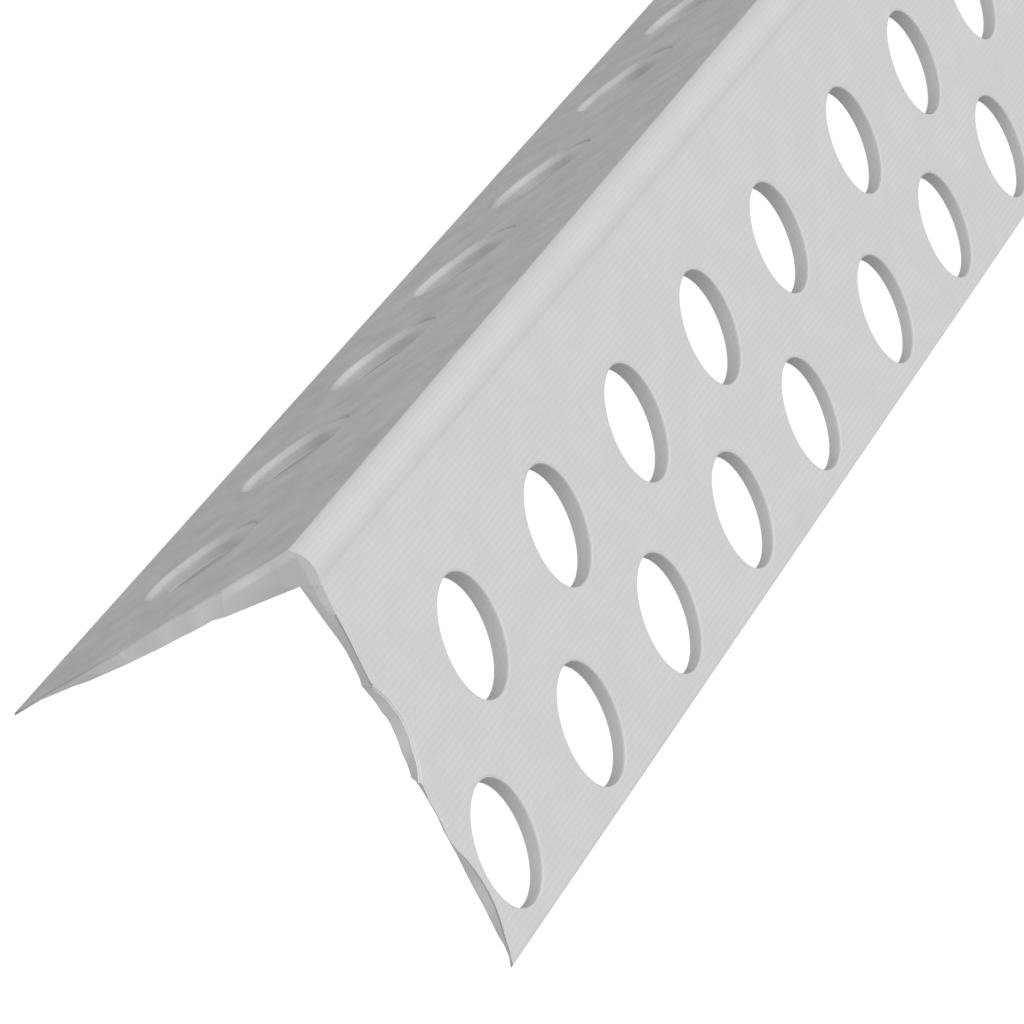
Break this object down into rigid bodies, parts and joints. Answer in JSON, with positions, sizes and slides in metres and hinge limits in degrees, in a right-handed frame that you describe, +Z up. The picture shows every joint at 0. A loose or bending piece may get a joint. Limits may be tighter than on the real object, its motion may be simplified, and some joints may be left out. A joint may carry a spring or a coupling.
{
  "type": "drywall corner bead",
  "caption": "Straight extruded plastic corner bead with a rounded nose and two perforated wings, one wider than the other, for outside wall corners.",
  "frame": {"origin": "centre of the floor rectangle under the strip, on the floor its two lips stand on", "axes": "+Z up towards the nose, +Y along the strip away from the pictured end, +X towards the wide wing"},
  "size_m": [0.0298, 2.4, 0.0168],
  "materials": {
    "bead_plastic": "matte extruded vinyl, light grey"
  },
  "bodies": {
    "root": {"corner_bead": "bead_plastic"}
  },
  "joints": []
}
